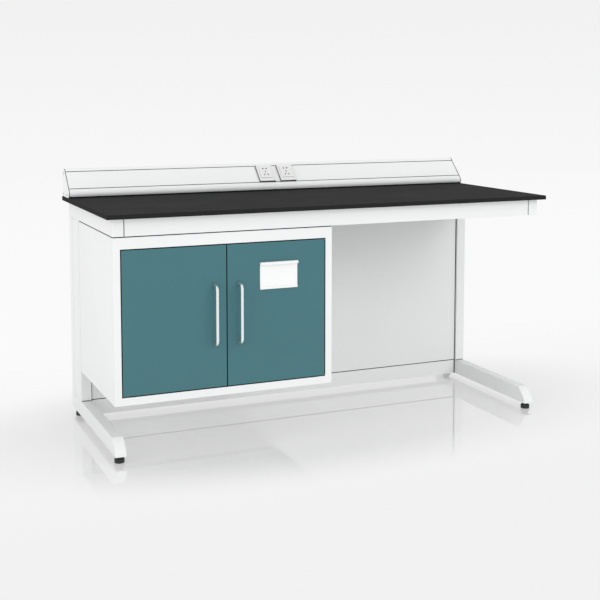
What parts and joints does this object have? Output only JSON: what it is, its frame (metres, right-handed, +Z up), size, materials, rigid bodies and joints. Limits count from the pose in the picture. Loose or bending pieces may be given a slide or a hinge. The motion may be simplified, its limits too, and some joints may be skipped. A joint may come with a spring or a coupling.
{
  "type": "laboratory bench",
  "caption": "Cantilever steel laboratory bench with a black worktop, a hung cabinet with hinged teal doors, a rear service trough with sockets and levelling feet.",
  "frame": {"origin": "middle of the footprint on the floor", "axes": "+X along the worktop, to the right of a person at the bench; +Y from the front to the back; +Z up"},
  "size_m": [1.8, 0.759, 0.9963],
  "materials": {
    "frame_white": "white powder coat, satin",
    "panel_white": "pale grey-white powder coat, satin",
    "worktop_black": "black phenolic resin, matte",
    "door_teal": "muted teal powder coat, satin",
    "liner_teal": "muted teal powder coat, satin",
    "trough_white": "white powder coat, smooth",
    "socket_white": "white moulded plastic",
    "box_grey": "grey moulded plastic",
    "gland_black": "black rubber",
    "foot_black": "black nylon",
    "handle_steel": "bright satin steel",
    "zinc_steel": "zinc-plated steel",
    "catch_white": "off-white plastic",
    "label_white": "white coated sheet",
    "card_white": "plain white card"
  },
  "bodies": {
    "frame": {"left_upright": "frame_white", "right_upright": "frame_white", "left_upright_cover": "frame_white", "right_upright_cover": "frame_white", "left_arm": "frame_white", "right_arm": "frame_white", "left_arm_cap": "frame_white", "right_arm_cap": "frame_white", "left_foot": "frame_white", "right_foot": "frame_white", "left_foot_cap": "frame_white", "right_foot_cap": "frame_white", "front_rail": "frame_white", "rear_top_rail": "frame_white", "middle_cross_rail": "frame_white", "rear_beam": "frame_white", "cabinet_face_frame": "frame_white", "cabinet_left_side": "frame_white", "cabinet_right_side": "frame_white", "cabinet_top": "frame_white", "cabinet_bottom": "frame_white", "cabinet_back": "frame_white", "cabinet_shelf": "frame_white", "back_panel": "panel_white", "worktop": "worktop_black", "trough_kick": "trough_white", "trough_back": "trough_white", "trough_fascia": "trough_white", "left_trough_cap": "trough_white", "right_trough_cap": "trough_white", "left_socket_plate": "socket_white", "right_socket_plate": "socket_white", "left_socket_insert": "socket_white", "right_socket_insert": "socket_white", "left_socket_box": "box_grey", "right_socket_box": "box_grey", "cable_gland": "gland_black", "front_left_shelf_clip": "zinc_steel", "rear_left_shelf_clip": "zinc_steel", "front_right_shelf_clip": "zinc_steel", "rear_right_shelf_clip": "zinc_steel", "left_cabinet_hanger": "zinc_steel", "right_cabinet_hanger": "zinc_steel", "left_door_top_pivot": "zinc_steel", "left_door_bottom_pivot": "zinc_steel", "right_door_top_pivot": "zinc_steel", "right_door_bottom_pivot": "zinc_steel", "magnetic_catch": "catch_white"},
    "left_door": {"left_door_skin": "door_teal", "left_door_liner": "liner_teal", "left_handle": "handle_steel"},
    "right_door": {"right_door_skin": "door_teal", "right_door_liner": "liner_teal", "right_handle": "handle_steel", "label_holder": "label_white", "label_card": "card_white"},
    "front_left_leveller": {"front_left_levelling_foot": "foot_black"},
    "front_right_leveller": {"front_right_levelling_foot": "foot_black"},
    "rear_left_leveller": {"rear_left_levelling_foot": "foot_black"},
    "rear_right_leveller": {"rear_right_levelling_foot": "foot_black"}
  },
  "joints": [
    {"name": "left_door_hinge", "type": "hinge", "parent": "frame", "child": "left_door", "pos_m": [-0.835, -0.3365, 0.4987], "axis": [0, 0, -1], "range_deg": [0, 110]},
    {"name": "right_door_hinge", "type": "hinge", "parent": "frame", "child": "right_door", "pos_m": [-0.082, -0.3365, 0.4987], "axis": [0, 0, 1], "range_deg": [0, 110]},
    {"name": "front_left_leveller_slide", "type": "slide", "parent": "frame", "child": "front_left_leveller", "axis": [0, 0, -1], "range_m": [0, 0.012]},
    {"name": "front_right_leveller_slide", "type": "slide", "parent": "frame", "child": "front_right_leveller", "axis": [0, 0, -1], "range_m": [0, 0.012]},
    {"name": "rear_left_leveller_slide", "type": "slide", "parent": "frame", "child": "rear_left_leveller", "axis": [0, 0, -1], "range_m": [0, 0.012]},
    {"name": "rear_right_leveller_slide", "type": "slide", "parent": "frame", "child": "rear_right_leveller", "axis": [0, 0, -1], "range_m": [0, 0.012]}
  ]
}
